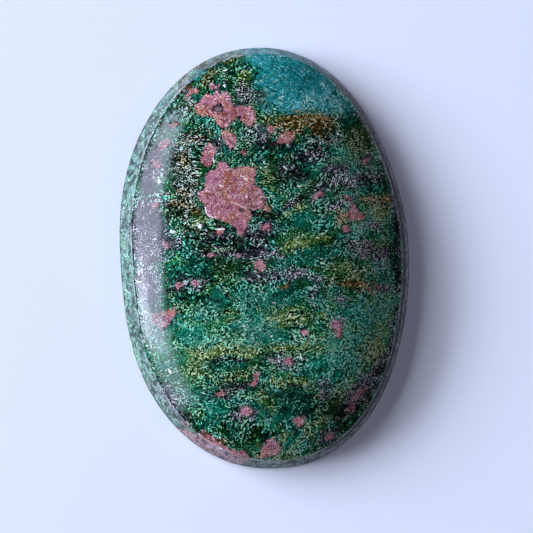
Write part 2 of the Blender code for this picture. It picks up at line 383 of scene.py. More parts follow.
# Where the mica is teal, then where it is olive, dark, pale and sparkling, bright, or emerald; the dark marks
# also hold painted shade, and the pale and bright ones painted light
TEAL_OUTLINES = (
    ((-0.9, 22.6), (1.5, 22.9), (4.5, 22.4), (7.2, 21.0), (9.0, 19.0), (8.5, 17.4), (9.8, 16.6), (10.7, 15.9),
     (9.3, 15.3), (7.5, 15.1), (5.5, 15.6), (3.8, 15.4), (2.0, 15.9), (0.8, 16.3), (0.1, 17.2), (0.2, 19.3),
     (-0.3, 20.8), (-1.1, 21.4)),
    ((-7.9, 19.3), (-7.2, 20.4), (-6.0, 21.2), (-4.6, 21.7), (-4.3, 21.2), (-5.3, 20.2), (-6.3, 19.5)),
)
OLIVE_OVALS = (
    (-2.6, 21.6, 1.8, 0.6, 12), (2.2, 14.8, 1.7, 0.5), (4.4, 1.7, 2.8, 0.65, 4), (4.1, 5.9, 1.2, 0.5, 20),
    (8.6, -1.6, 2.3, 0.9, -14), (-6.2, -9.9, 2.7, 0.75, 16), (-1.0, -9.6, 3.6, 0.42, -2),
    (4.4, -9.6, 1.4, 0.5), (1.8, -13.3, 1.7, 0.4, -6), (-1.0, 19.4, 0.8, 1.0), (2.4, -6.3, 2.4, 0.9),
    (-4.5, -0.9, 0.9, 0.5), (-0.5, -15.0, 0.6, 1.2, 20), (12.6, 4.4, 1.2, 0.9), (1.0, 8.9, 0.8, 1.3),
    (10.9, 12.4, 1.8, 1.6), (11.6, -10.4, 1.3, 1.7, -14), (7.4, -15.2, 2.6, 0.7, 40),
    (-3.6, -12.4, 2.4, 0.6, 8), (5.8, -17.2, 1.6, 0.5, 20), (-6.8, 4.9, 1.1, 0.5, -20),
    (0.9, -21.2, 1.1, 0.4), (12.2, 0.8, 1.0, 0.6), (-8.0, -11.6, 1.4, 0.6),
)
# Dark: partly darker rock, partly painted shade along the right edge of the dome, which faces away from the
# lamps, and on the left side, which they light most
DARK_AND_SHADE_OVALS = (
    (14.1, 0.0, 1.2, 4.2), (11.4, 13.6, 2.6, 0.9, -50), (13.9, 8.4, 0.7, 2.4, 18),
    (13.7, -8.4, 0.7, 3.8, -14), (10.2, -15.0, 4.2, 0.9, 52), (3.0, 5.5, 2.6, 0.35, 32),
    (-8.0, -3.7, 2.2, 0.6), (2.8, -15.0, 2.1, 1.1, -8), (-5.2, -10.8, 1.3, 0.5),
    (-2.7, 19.9, 1.5, 0.8, 15), (0.4, 12.3, 2.6, 0.6, -4), (-2.2, 2.4, 3.4, 0.5, 4), (6.6, 13.0, 2.4, 0.4),
    (-4.6, 13.0, 1.2, 0.5), (-8.0, 10.4, 0.5, 1.6), (7.4, -17.2, 1.8, 0.9, 40), (-6.4, 13.6, 1.4, 0.8),
    (2.4, 8.6, 1.6, 0.9, 20), (3.7, -3.7, 1.0, 0.7), (-3.8, -1.1, 1.2, 0.5), (-6.6, -1.3, 1.8, 0.5),
    (-8.7, 3.6, 0.9, 0.9), (-4.4, -18.6, 2.4, 0.6, -22), (2.8, -16.4, 2.4, 0.8, -6),
    (-6.4, 13.8, 1.6, 0.9), (-3.4, 21.4, 2.0, 0.7, 18), (-8.6, -17.0, 1.2, 0.5, -40),
    (14.0, 11.0, 0.9, 1.6, 30), (-2.0, -18.6, 1.6, 0.8), (-6.4, 0.6, 1.8, 1.5),
    (-6.6, -19.2, 2.0, 1.2, -30), (-11.8, 10.8, 1.3, 4.4, -12), (-1.0, 11.6, 0.9, 0.9),
    (6.2, 11.4, 1.6, 0.9), (-5.4, -1.3, 2.4, 0.9), (3.6, -3.8, 2.8, 0.8), (-4.4, -13.6, 2.2, 0.8, 10),
    (6.4, -16.4, 2.0, 1.0), (3.6, -16.4, 1.6, 0.9), (7.6, 1.3, 2.4, 0.7), (-6.4, 11.6, 1.2, 1.4),
    (-8.0, 5.6, 1.4, 0.8), (8.0, 13.4, 2.0, 0.8), (11.6, 11.6, 1.6, 1.4), (2.6, 11.0, 2.2, 1.2),
    (-7.6, -1.2, 2.4, 0.8), (-0.9, 6.6, 0.7, 1.2), (-10.2, 15.6, 1.4, 2.6, -36),
    (-9.0, -18.2, 1.4, 1.2, -40), (-3.8, -21.6, 1.8, 0.8), (7.0, 8.3, 3.0, 0.3, 26), (5.6, 18.9, 0.7, 0.4),
    (-13.95, 3.0, 0.14, 4.6), (-3.6, 16.3, 2.8, 1.3, -12), (-7.8, 18.8, 2.2, 0.9, 38),
    (2.6, 11.6, 2.6, 0.9), (3.0, 11.3, 3.8, 1.4), (3.2, 8.9, 2.2, 1.2), (-6.4, 13.8, 1.6, 1.3),
    (-4.6, -0.6, 3.0, 1.3), (-8.6, 11.0, 1.2, 1.6), (-8.6, 6.4, 1.2, 1.8), (-8.8, -3.6, 1.6, 1.2),
    (-6.4, -1.2, 2.0, 1.4), (-3.6, 18.9, 2.4, 1.2), (13.6, 11.4, 0.8, 1.6, 30),
    (-12.4, -13.4, 0.9, 2.6, -28), (-10.4, -17.2, 1.0, 2.4, -42), (-4.4, -22.0, 2.4, 0.8, -12),
    (-13.9, -6.0, 0.6, 3.4, 6), (1.6, 3.9, 1.5, 0.9), (-1.6, 1.2, 1.8, 0.9), (-11.6, 6.2, 0.9, 2.0),
    (-11.8, -6.0, 0.9, 2.2, 10), (-7.2, -18.6, 2.0, 1.0, -35),
)
# Pale and sparkling: partly paler rock, partly painted light that brightens the right side of the dome and
# raises its contrast there, where the lamps leave it dim
PALE_AND_LIGHT_OVALS = (
    (11.6, 3.4, 2.2, 1.8), (9.4, -8.6, 3.4, 2.4), (8.4, 16.6, 1.6, 1.6, -30), (5.0, 16.6, 2.4, 1.0),
    (12.2, -1.4, 1.4, 1.4), (12.6, 1.2, 0.9, 1.4), (6.4, -11.3, 2.0, 1.4), (-3.8, -8.8, 1.8, 1.2),
    (9.0, 11.3, 1.5, 1.1), (11.6, -7.6, 3.4, 4.6, -14), (8.6, -10.4, 3.6, 2.6), (11.4, 10.0, 2.2, 2.6, 20),
    (12.4, 4.4, 1.6, 1.6), (13.2, -4.6, 1.2, 2.2), (9.6, -13.6, 2.4, 1.6), (3.8, -8.7, 1.6, 0.9),
    (-1.2, -6.4, 1.8, 1.1), (-3.6, 13.6, 1.0, 0.9), (9.0, 7.4, 1.4, 2.0), (8.6, 16.4, 1.6, 1.0, -30),
    (-6.2, -8.4, 1.6, 0.9), (1.2, -20.6, 2.4, 0.9),
)
# Bright: partly lighter rock, partly painted light that lifts the right side of the dome, where the lamps
# leave it dim
BRIGHT_AND_LIGHT_OVALS = (
    (-1.0, -3.9, 4.0, 0.9, 2), (0.0, -8.0, 1.8, 0.8), (9.1, 11.3, 1.2, 0.8), (3.9, 7.2, 1.4, 0.5),
    (4.8, 4.5, 2.6, 0.9), (-9.2, 3.8, 1.4, 0.7, -18), (10.0, -5.6, 1.9, 1.0), (0.2, -17.2, 1.7, 0.8, -20),
    (-7.3, -15.4, 2.1, 0.8), (7.0, -11.0, 4.2, 1.5, -4), (-6.2, -5.4, 3.0, 1.0), (4.5, 16.4, 0.7, 0.4),
    (6.3, 15.9, 0.5, 0.3), (-5.6, -7.4, 4.6, 2.0), (-10.6, -9.6, 2.2, 3.4, 14), (-8.8, -12.4, 1.6, 1.6),
    (3.8, -9.0, 1.6, 1.0), (9.2, -8.4, 2.2, 2.2), (11.2, -4.6, 0.9, 2.6), (1.4, 18.3, 0.5, 1.2),
    (-9.9, 16.8, 0.9, 1.1, -40), (1.2, 21.6, 1.8, 0.4), (11.0, -8.8, 3.0, 4.0, -16),
    (7.6, -12.4, 3.4, 2.6), (10.6, 3.2, 2.8, 4.4), (7.8, 17.4, 2.2, 2.4, -40), (-3.6, -7.4, 5.4, 2.8),
    (11.8, -2.8, 2.0, 3.0), (12.6, -7.0, 2.2, 3.4, -10), (2.6, -11.6, 3.0, 1.2), (8.8, -6.4, 3.4, 2.6),
    (6.6, -9.6, 3.4, 2.0), (1.4, -20.0, 2.6, 1.4), (4.6, -18.4, 2.0, 1.2), (13.2, 4.6, 1.4, 2.4),
)
EMERALD_OVALS = (
    (-8.2, -7.6, 1.6, 0.9), (-5.2, -4.5, 1.2, 0.8), (-0.8, -7.7, 1.5, 0.8), (-7.4, -0.7, 2.8, 0.8),
    (4.4, 9.3, 1.8, 0.9), (3.4, 3.7, 1.6, 0.6), (6.0, 3.3, 1.2, 0.8), (6.8, 0.6, 2.2, 0.6),
    (9.6, -6.3, 1.6, 0.8), (7.4, -12.6, 1.0, 0.7), (9.0, 11.3, 1.2, 0.7), (11.6, 6.8, 1.2, 0.4),
    (0.9, -3.7, 1.6, 0.8), (3.4, -0.4, 2.4, 0.5), (-7.2, -15.0, 1.8, 0.5), (-4.6, -11.2, 2.4, 0.5),
    (0.4, -16.4, 1.6, 1.0, -20), (5.4, -12.6, 1.0, 0.5), (-4.2, 1.6, 1.6, 0.25, -20),
    (10.2, 8.7, 1.2, 0.5), (12.6, 1.3, 0.8, 0.5), (12.6, -3.2, 1.0, 0.8), (-9.0, 9.2, 0.7, 0.5),
    (8.2, -9.2, 1.8, 0.5), (0.6, -3.9, 3.4, 1.0), (-0.4, -6.4, 2.0, 0.9), (0.4, -8.6, 2.2, 0.8),
    (6.2, -11.2, 2.4, 1.1), (1.8, -16.0, 2.4, 1.2),
)
# Lines through the rock, each as its half width and its bends: dark seams, then yellow-green veins
SEAM_LINES = (
    (0.16, ((0.2, 4.0), (1.8, 4.8), (3.2, 5.8), (4.8, 6.6), (6.2, 7.3), (8.0, 8.0), (10.2, 7.8),
            (13.0, 8.2))),
    (0.10, ((7.6, 6.6), (9.2, 7.0), (10.6, 7.4), (13.2, 7.7))),
    (0.18, ((-6.0, -10.5), (-5.2, -10.3), (-4.3, -10.3), (-3.4, -10.6), (-2.4, -10.7))),
    (0.12, ((1.4, -13.3), (2.4, -13.5), (3.0, -13.9), (4.4, -14.0))),
    (0.10, ((-10.4, -2.7), (-9.4, -2.8), (-8.4, -3.1))), (0.20, ((-4.9, 3.9), (-4.0, 3.5), (-3.2, 3.4))),
    (0.22, ((-1.4, 5.1), (-0.4, 4.9), (0.6, 5.0), (1.4, 4.7))),
    (0.20, ((-9.6, 2.6), (-8.0, 2.9), (-6.4, 2.4), (-4.8, 2.3), (-3.0, 2.4))),
    (0.40, ((13.9, -6.0), (13.5, -9.0), (12.4, -11.0), (11.2, -12.6), (9.6, -13.9), (8.4, -15.6),
            (7.0, -17.2))),
    (0.14, ((-4.4, 12.9), (-4.6, 11.8), (-4.6, 10.9), (-4.4, 10.3))),
    (0.30, ((14.2, 6.5), (14.3, 3.0), (14.3, -0.5), (14.2, -4.0))),
    (0.16, ((-7.8, 13.6), (-6.8, 13.5), (-5.8, 13.0))),
    (0.14, ((-9.8, 7.9), (-9.9, 6.9), (-9.8, 6.0), (-10.2, 5.0))),
)
VEIN_LINES = (
    (0.26, ((-8.6, -9.4), (-7.2, -10.0), (-6.0, -9.7), (-4.9, -9.3), (-3.8, -9.8), (-2.6, -10.1),
            (-1.2, -10.0))),
    (0.14, ((-1.2, -10.0), (0.2, -9.8), (1.6, -9.5), (3.0, -9.2))),
    (0.24, ((2.0, 1.0), (3.0, 1.5), (4.2, 1.7), (5.6, 2.0), (7.0, 1.9))),
    (0.12, ((1.6, -5.4), (2.4, -5.3), (3.3, -5.5))),
    (0.16, ((0.2, -12.9), (1.4, -13.1), (2.6, -13.1), (3.6, -13.2))),
    (0.16, ((1.8, 4.2), (2.8, 4.9), (3.9, 5.3), (5.0, 5.4))),
    (0.12, ((-7.6, 4.1), (-7.0, 4.3), (-6.4, 4.9))), (0.10, ((-6.0, 1.6), (-5.0, 1.2), (-3.8, 1.1))),
)
# Stained cracks in the ruby, and the splinters along them, painted bright as highlights where they flash
CRACK_LINES = (
    (0.10, ((-3.6, 9.6), (-3.3, 9.0), (-3.7, 8.3), (-4.0, 7.6), (-3.6, 6.8), (-3.0, 6.2))),
    (0.10, ((-3.4, 9.0), (-2.6, 9.3), (-1.8, 9.1), (-1.2, 8.5), (-0.6, 8.2))),
    (0.08, ((-2.2, 7.2), (-1.8, 7.4), (-1.6, 7.9))), (0.07, ((-3.4, 6.4), (-2.5, 5.9), (-1.9, 5.5))),
    (0.09, ((-2.2, 5.4), (-1.6, 5.2), (-1.2, 5.2))), (0.07, ((-4.2, 4.1), (-3.4, 4.7), (-2.8, 4.9))),
    (0.08, ((-6.0, 15.9), (-5.2, 15.8), (-4.4, 15.2))),
    (0.07, ((-3.6, 17.4), (-3.3, 16.6), (-2.6, 16.2))), (0.06, ((9.2, 4.1), (9.9, 4.3), (10.7, 4.0))),
)
SPLINTER_LINES = (
    (0.06, ((-2.1, 9.05), (-1.7, 8.9), (-1.35, 8.55))),
    (0.06, ((-6.0, 5.9), (-5.9, 5.2), (-5.6, 4.9), (-5.0, 4.75))),
    (0.05, ((-3.2, 6.3), (-2.5, 6.0), (-2.0, 5.65))), (0.09, ((-5.0, 3.5), (-4.1, 3.45))),
    (0.05, ((-3.95, 9.55), (-3.5, 9.8))), (0.05, ((-4.4, 8.15), (-4.0, 8.0))),
    (0.07, ((-4.9, 11.0), (-4.8, 10.6))), (0.06, ((12.3, -6.8), (13.0, -6.5))),
    (0.06, ((13.5, -5.7), (14.1, -5.4))), (0.07, ((2.6, 9.8), (2.9, 9.5))),
    (0.07, ((3.3, -10.2), (3.4, -10.9))),
)
# Clear quartz grains, painted white as glints where they flash
QUARTZ_OVALS = (
    (-10.8, 8.9, 0.24, 0.24), (-0.7, 13.75, 0.26, 0.13, -10), (5.7, 14.3, 0.16, 0.12),
    (8.6, 13.0, 0.2, 0.1, -35), (9.0, 15.5, 0.14, 0.12), (9.4, 15.9, 0.12, 0.12), (-8.2, 5.1, 0.14, 0.12),
    (-9.4, 3.4, 0.16, 0.12), (-10.3, 3.4, 0.12, 0.12), (-8.6, 10.6, 0.12, 0.12), (0.3, -11.0, 0.14, 0.14),
    (1.0, -10.5, 0.12, 0.1), (-2.5, -7.0, 0.2, 0.12), (0.8, -4.7, 0.12, 0.12), (-7.6, -10.5, 0.14, 0.1),
    (-7.0, -11.1, 0.12, 0.12), (-7.2, -13.9, 0.12, 0.12), (4.1, 7.6, 0.18, 0.12), (10.4, 15.0, 0.1, 0.16),
    (-3.1, 20.4, 0.26, 0.11, 20), (-3.3, 18.8, 0.12, 0.3), (-6.7, 3.9, 0.3, 0.26, 50),
    (-0.4, 1.8, 0.12, 0.2), (9.8, 1.4, 0.26, 0.1, -35), (-5.8, -19.95, 0.36, 0.2),
    (-5.7, -18.8, 0.14, 0.14), (-10.7, -11.4, 0.14, 0.32, 25), (-3.0, -6.5, 0.16, 0.12, 15),
    (0.3, -8.2, 0.18, 0.12), (3.2, -2.1, 0.12, 0.1), (11.7, -1.7, 0.12, 0.18), (10.7, -1.7, 0.14, 0.2, 20),
    (-0.5, -3.5, 0.2, 0.1, -14), (-12.3, -2.2, 0.12, 0.1), (-7.6, 18.45, 0.12, 0.08),
    (2.05, -12.0, 0.1, 0.1), (-9.7, 3.5, 0.24, 0.14, 10), (4.6, -18.6, 0.16, 0.12, 40),
)


def distance_to_run(places, start, end):
    run = end - start
    along = np.clip((places - start) @ run / (run @ run), 0, 1)
    return np.hypot(*(places - start - along[:, None] * run).T)


def depth_in_outline(places, corners):
    """How far inside a closed outline each place lies, and how far outside as a negative number."""
    corners = np.array(corners)
    nearest = np.full(len(places), np.inf)
    inside = np.zeros(len(places), bool)
    for start, end in zip(corners, np.roll(corners, -1, axis=0)):
        run = end - start
        nearest = np.minimum(nearest, distance_to_run(places, start, end))
        crossed = (start[1] > places[:, 1]) != (end[1] > places[:, 1])
        beyond = (places[:, 0] - start[0]) * run[1] < (places[:, 1] - start[1]) * run[0]
        inside ^= crossed & (beyond ^ (run[1] < 0))
    return np.where(inside, nearest, -nearest)


def depth_in_oval(places, middle_x, middle_y, half_x, half_y, turn=0):
    """The same for an oval, near enough for a patch of rock."""
    turn = math.radians(turn)
    off = places - (middle_x, middle_y)
    across = (off[:, 0] * math.cos(turn) + off[:, 1] * math.sin(turn)) / half_x
    along = (off[:, 1] * math.cos(turn) - off[:, 0] * math.sin(turn)) / half_y
    reach = np.hypot(across, along)
    slope = np.hypot(across / half_x, along / half_y) / np.maximum(reach, 1e-6)
    return (1 - reach) / np.maximum(slope, 1e-6)


def depth_in_line(places, half_width, bends):
    """The same for a bent line."""
    bends = np.array(bends)
    distances = [distance_to_run(places, start, end) for start, end in zip(bends, bends[1:])]
    return half_width - np.min(distances, axis=0)


# Millimetres outside a mark where nothing of it shows any more
FAR_OUTSIDE = 9.0


def marked(places, outlines=(), ovals=(), lines=()):
    """Depth inside the nearest of many marks."""
    depth = np.full(len(places), -FAR_OUTSIDE)
    for line in lines:
        depth = np.maximum(depth, depth_in_line(places, *line))
    for corners in outlines:
        depth = np.maximum(depth, depth_in_outline(places, corners))
    for oval in ovals:
        depth = np.maximum(depth, depth_in_oval(places, *oval))
    return depth


# How much a normal points up where the fine ground wall ends, and where the full polish begins
WALL_NORMAL_RISE = (0.50, 0.60)
# The middle of the picture in the drawing's millimetres, whose axes are the stone's own
DRAWING_CENTRE = (0.196, -0.758)
# How the bands dip: how far they have moved along for each millimetre down from the shoulder
BAND_DIP = (0.25, -0.80)
BACK_DIP_DEPTH = 3.5
# In millimetres: half the worn line along the shoulder, the height of the painted contact shadow at the foot
# of the wall, and how much less far the ruby reaches on the back
WORN_LINE = 0.10
FOOT_HEIGHT = 0.55
BACK_RUBY_LESS = 0.3


def as_drawn(points):
    """Where points in millimetres lie in the drawing, as the camera sees them."""
    apart = (points / 1000 - np.array(camera.matrix_world.translation)) @ np.array(camera_axes)
    flat = apart[:, :2] * (-1000 * CAMERA_DISTANCE / apart[:, 2:])
    cosine, sine = math.cos(CAMERA_ROLL), math.sin(CAMERA_ROLL)
    return flat @ np.array(((cosine, -sine), (sine, cosine))) + DRAWING_CENTRE


points = np.zeros(len(skin.vertices) * 3, np.float32)
skin.vertices.foreach_get("co", points)
points = points.reshape(-1, 3) * 1000
normals = np.zeros(len(skin.vertices) * 3, np.float32)
skin.vertex_normals.foreach_get("vector", normals)
normals = normals.reshape(-1, 3)

# The bands dip through the stone, so on the wall and the back they have moved along
half_size = np.array(high_corner.xy) * 1000
sunk = np.clip(SHOULDER_HEIGHT * 1000 - points[:, 2], 0, None)
on_back = np.clip(-normals[:, 2], 0, 1) ** 4
sunk += on_back * BACK_DIP_DEPTH * np.clip(1 - np.hypot(*(points[:, :2] / half_size).T), 0, 1)
seen = as_drawn(points) + sunk[:, None] * np.array(BAND_DIP)
marks = {
    "ruby": marked(seen, RUBY_OUTLINES, RUBY_OVALS),
    "pit": marked(seen, ovals=PIT_OVALS),
    "rust": marked(seen, ovals=RUST_OVALS),
    "pepper": marked(seen, ovals=PEPPER_OVALS),
    "even_and_glare_fade": marked(seen, ovals=EVEN_AND_GLARE_FADE_OVALS),
    "plum": marked(seen, ovals=PLUM_OVALS),
    "teal": marked(seen, TEAL_OUTLINES),
    "olive": marked(seen, ovals=OLIVE_OVALS),
    "dark": marked(seen, ovals=DARK_AND_SHADE_OVALS),
    "bright": marked(seen, ovals=BRIGHT_AND_LIGHT_OVALS),
    "pale": marked(seen, ovals=PALE_AND_LIGHT_OVALS),
    "emerald": marked(seen, ovals=EMERALD_OVALS),
    "seam": marked(seen, lines=SEAM_LINES),
    "vein": marked(seen, lines=VEIN_LINES),
    "crack": marked(seen, lines=CRACK_LINES),
    "splinter": marked(seen, lines=SPLINTER_LINES),
    "quartz": marked(seen, ovals=QUARTZ_OVALS),
}
marks["ruby"] = np.minimum(marks["ruby"], -marks["pit"]) - BACK_RUBY_LESS * on_back
# The dome is polished bright, the wall only fine ground, and the back lapped
marks["shoulder"] = WORN_LINE - np.abs(points[:, 2] - SHOULDER_HEIGHT * 1000)
# The foot mark sets the height of the painted contact shadow along the foot of the wall
marks["foot"] = FOOT_HEIGHT - points[:, 2] - FAR_OUTSIDE * on_back
wall_rise, dome_rise = WALL_NORMAL_RISE
marks["wall"] = np.clip((dome_rise - normals[:, 2]) / (dome_rise - wall_rise), 0, 1)

# Ruby is far harder than mica, so it stands a hair proud of it after polishing, and the pits are left low
RUBY_STAND = 0.018
RUBY_SLOPE = 0.25
PIT_SINK = 0.060
PIT_SLOPE = 0.2
POLISH_START = 0.3
stand = RUBY_STAND * np.clip(marks["ruby"] / RUBY_SLOPE + 0.5, 0, 1)
stand = stand - PIT_SINK * np.clip(marks["pit"] / PIT_SLOPE, 0, 1)
polished = np.clip(points[:, 2] / POLISH_START, 0, 1)
points += normals * (stand * polished)[:, None]
points[:, 2] = np.clip(points[:, 2], low_corner.z * 1000, high_corner.z * 1000)
skin.vertices.foreach_set("co", (points / 1000).astype(np.float32).ravel())
for name, depth in marks.items():
    skin.attributes.new(name, "FLOAT", "POINT").data.foreach_set("value", depth.astype(np.float32))
skin.update()


# The stone's surface
# The rock is a felt of mica flakes and quartz grains of 0.1 to 0.3 mm, from black pits to near white, over
# patches of emerald, teal, olive, gold and grey. The polish is bright on the dome and satin on the wall.

GRAINS_PER_MM = 7.0
FLAKES_PER_MM = 7.5
RUBY_BLOCKS_PER_MM = 0.95
RUBY_CHIPS_PER_MM = 2.6
# The tone of a mean flake, on the scale of the steps below
ROCK_TONE = 0.430
RUBY_TONE = 0.575
CHIP_SHADOW = (0.120, 0.036, 0.032, 1)
CHIP_LIGHT = (0.640, 0.430, 0.430, 1)
CRACK_DARK = (0.095, 0.032, 0.022, 1)
CRACK_RUST = (0.190, 0.058, 0.018, 1)
SPLINTER_HIGHLIGHT = (0.700, 0.520, 0.480, 1)
RIM_BLACK = (0.006, 0.008, 0.007, 1)
GLINT_WHITE = (0.84, 0.84, 0.76, 1)
PIT_SIDE = (0.050, 0.034, 0.036, 1)
PIT_FLOOR = (0.190, 0.120, 0.125, 1)
GROUND_SHEEN_LEFT = (0.36, 0.47, 0.43, 1)
GROUND_SHEEN_RIGHT = (0.50, 0.42, 0.49, 1)
STREAK_DARK = (0.012, 0.015, 0.015, 1)
WALL_SHADE = (0.022, 0.027, 0.025, 1)
FOOT_PALE = (0.62, 0.58, 0.66, 1)
FOOT_SHADOW = (0.010, 0.011, 0.013, 1)
WORN_GREY = (0.50, 0.52, 0.52, 1)
POLISH_ROUGHNESS = (0.06, 0.16)
GROUND_ROUGHNESS = 0.34
FLAKE_TILT = 0.05
SCUFF_TILT = 1.3
STONE_IOR = 1.5
STONE_GLOSS = 0.32

stone_finish.use_nodes = True
paint = stone_finish.node_tree
surface = paint.nodes["Principled BSDF"]
place = Wire(paint, paint.nodes.new("ShaderNodeTexCoord").outputs["Object"])
place = place.node("ShaderNodeMapping", {}, {"Vector": place, "Scale": (1000, 1000, 1000)})


def mark(name):
    return place.node("ShaderNodeAttribute", {"attribute_name": name}, {}, "Fac")


def noise(where, scale, detail=2.0, roughness=0.5, distortion=0.0):
    values = {
        "Vector": where, "Scale": scale, "Detail": detail, "Roughness": roughness, "Distortion": distortion,
    }
    return where.node("ShaderNodeTexNoise", {}, values)


def cells(where, scale, feature="F1"):
    """A random colour for each flake or grain, and the distance from its middle or its edge."""
    return where.node("ShaderNodeTexVoronoi", {"feature": feature}, {"Vector": where, "Scale": scale})


def blend(share, first, second):
    return share.node("ShaderNodeMix", {"data_type": "RGBA"}, {"Factor": share, "A": first, "B": second}, 2)


# Where the colours of a kind of rock lie along the tone, from its darkest flakes to its lightest
TONE_STEPS = (0.14, 0.30, 0.41, 0.59, 0.70, 0.85, 1.05)


def flakes_of(tone, *steps):
    """The colours of one kind of rock, from its darkest flakes to its lightest."""
    made = tone.node("ShaderNodeValToRGB", {}, {0: tone / TONE_STEPS[-1]})
    ramp = made.socket.node.color_ramp
    while len(ramp.elements) < len(steps):
        ramp.elements.new(0.5)
    for element, position, colour in zip(ramp.elements, TONE_STEPS, steps):
        element.position = position / TONE_STEPS[-1]
        element.color = (*colour, 1)
    return made


# The middle of what a noise or a cell's colour gives
MIDDLE = (0.5, 0.5, 0.5)


def moved(where, scale, reach):
    """Places pushed about by a noise, so that what is drawn on them loses its regular shape."""
    push = noise(where, scale, 1.0).beside("Color")
    return push.vectors("MULTIPLY_ADD", push.vectors("SUBTRACT", push, MIDDLE), (reach,) * 3, where)


def specks(where, scale, share, size):
    """Grains strewn one to a cell in a share of the cells: how much of a place each of two kinds covers."""
    nearest = cells(where, scale)
    chance = nearest.beside("Color").parts("ShaderNodeSeparateColor")
    cover = 1 - nearest.ramp(size * 0.4, size)
    return (chance > 1 - share) * cover, (chance.beside(1) > 1 - share) * cover


# The bands run across the stone, a little uphill to the right, and sway
sway = moved(place, 0.22, 3.2)
along_bands = {"Vector": sway, "Rotation": (0.15, 0.1, math.radians(-7)), "Scale": (0.85, 1.06, 1.0)}
band_place = sway.node("ShaderNodeMapping", {}, along_bands)
grain_place = moved(band_place, 3.0, 0.20)
grain = noise(grain_place, GRAINS_PER_MM, 1.0, 0.6)
coarse = noise(band_place, 1.1, 2.0, 0.5)
broad = noise(band_place, 0.40, 2.0, 0.5)
cloud = noise(grain_place, 2.0, 2.0, 0.6)
flake = cells(grain_place, FLAKES_PER_MM).beside("Color")
flake_red = flake.parts("ShaderNodeSeparateColor")
flake_green, flake_blue = flake_red.beside(1), flake_red.beside(2)
glint, pit = specks(grain_place, 3.6, 0.30, 0.40)
small_glint, small_pit = specks(grain_place, 5.2, 0.26, 0.45)
spark, hole = specks(grain_place, 2.9, 0.14, 0.34)


def share_of(name, spread, soft=0.15):
    """How much of a band's colour each flake takes: all inside, none outside, and some at its edge."""
    return (mark(name) + (flake_green - 0.5) * spread + (coarse - 0.5) * spread * 2).ramp(-soft, soft)


# The white and black grains come in swarms, with smooth felted mica between them; the white ones are partly
# painted glints
swarm = noise(band_place, 0.75, 2.0, 0.6).ramp(0.40, 0.60) + share_of("pepper", 1.0, 0.4) * 0.35
in_teal = share_of("teal", 1.5, 0.35)
# Even: the rock's own even mica, and on the left shoulder a painted glare fade under the window's reflection
# that softens contrast, greys the mica and dims the rubies
even_and_glare_fade = mark("even_and_glare_fade").ramp(-0.7, 0.7)
in_plum = share_of("plum", 1.0, 0.4)
# The dark share carries painted shade as well as dark rock, and the pale share painted light as well as pale
# rock
in_dark_and_shade = share_of("dark", 1.0, 0.6)
in_rust = share_of("rust", 0.9, 0.3)
in_pale_and_light = share_of("pale", 1.4, 0.9)
on_wall = mark("wall")
texture = (grain - 0.5) * (1.45 + swarm * 2.0) + (flake_red - 0.5) * (0.42 + swarm * 0.60)
texture = texture + ((glint + small_glint) * 0.60 - (pit + small_pit) * 0.60) * swarm
texture = texture + spark * 0.55 - hole * 0.45
in_emerald = share_of("emerald", 1.0, 0.4)
texture = texture * (1 - in_teal * 0.54) * (1 - even_and_glare_fade * 0.30) * (1 - in_emerald * 0.24)
# Painted light raises the contrast on the pale marks, and painted shade lowers it on the dark ones
texture = texture * (1.04 + in_pale_and_light * 0.60) * (1 - in_dark_and_shade * 0.16)
# Few flakes are painted bright as glints, and most of the rest differ little
texture = texture * (0.84 + texture.ramp(0.12, 0.55) * 0.62)
clouds = (cloud - 0.5) * (0.45 + in_teal * 0.35 + on_wall * 0.30)
clouds = clouds + (coarse - 0.5) * 0.20 + (broad - 0.5) * 0.15
in_seam = share_of("seam", 0.30, 0.15)
in_vein = share_of("vein", 0.30, 0.15)
tone = texture + clouds + ROCK_TONE + on_wall * 0.07 - in_seam * 0.20 + in_vein * 0.10 + in_teal * 0.04
# Bright and pale marks lift the tone, partly as lighter rock and partly as painted light; dark marks lower
# it, partly as painted shade
tone = tone + share_of("bright", 1.2, 0.6) * 0.10 + in_pale_and_light * 0.10 + mark("pale").ramp(0.3, 1.4) * 0.05
tone = tone - in_dark_and_shade * 0.13 - mark("dark").ramp(0.3, 1.0) * 0.05 + even_and_glare_fade * 0.02
grass = flakes_of(
    tone, (0.000, 0.003, 0.001), (0.001, 0.018, 0.004), (0.002, 0.045, 0.012), (0.008, 0.119, 0.030),
    (0.020, 0.187, 0.058), (0.053, 0.301, 0.120), (0.283, 0.608, 0.328))
emerald = flakes_of(
    tone, (0.000, 0.004, 0.003), (0.000, 0.025, 0.012), (0.001, 0.059, 0.032), (0.002, 0.134, 0.077),
    (0.006, 0.208, 0.121), (0.025, 0.310, 0.201), (0.208, 0.608, 0.423))
sage = flakes_of(
    tone, (0.000, 0.004, 0.003), (0.003, 0.023, 0.015), (0.013, 0.057, 0.035), (0.045, 0.143, 0.096),
    (0.088, 0.224, 0.157), (0.182, 0.361, 0.254), (0.471, 0.608, 0.432))
teal = flakes_of(
    tone, (0.001, 0.040, 0.040), (0.002, 0.104, 0.102), (0.006, 0.155, 0.151), (0.021, 0.235, 0.224),
    (0.045, 0.300, 0.292), (0.136, 0.430, 0.395), (0.504, 0.740, 0.640))
olive = flakes_of(
    tone, (0.000, 0.003, 0.001), (0.003, 0.018, 0.002), (0.016, 0.051, 0.006), (0.079, 0.150, 0.022),
    (0.146, 0.227, 0.046), (0.241, 0.335, 0.103), (0.544, 0.608, 0.316))
mauve = flakes_of(
    tone, (0.000, 0.001, 0.001), (0.010, 0.009, 0.013), (0.033, 0.029, 0.037), (0.090, 0.077, 0.095),
    (0.151, 0.127, 0.152), (0.258, 0.232, 0.258), (0.560, 0.552, 0.528))
